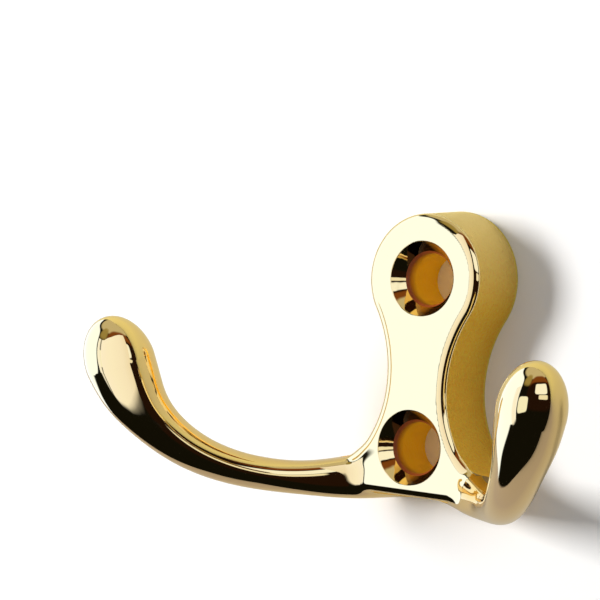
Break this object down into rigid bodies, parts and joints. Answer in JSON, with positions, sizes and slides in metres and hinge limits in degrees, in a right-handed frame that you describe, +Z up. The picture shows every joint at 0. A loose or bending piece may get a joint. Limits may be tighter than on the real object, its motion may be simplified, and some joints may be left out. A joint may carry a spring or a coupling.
{
  "type": "wall hook",
  "caption": "Cast wall hook: a keyhole-shaped back plate with countersunk screw holes and a pair of forward-curving arms that end in rounded bulbs.",
  "frame": {"origin": "on the wall plane, midway between the two screw holes", "axes": "+Z up the wall, through both screw holes; +Y into the wall, so that the front faces -Y; +X to the right as seen from the front"},
  "size_m": [0.0592, 0.029, 0.0319],
  "materials": {
    "polished_brass": "polished"
  },
  "bodies": {
    "root": {"wall_hook": "polished_brass"}
  },
  "joints": []
}
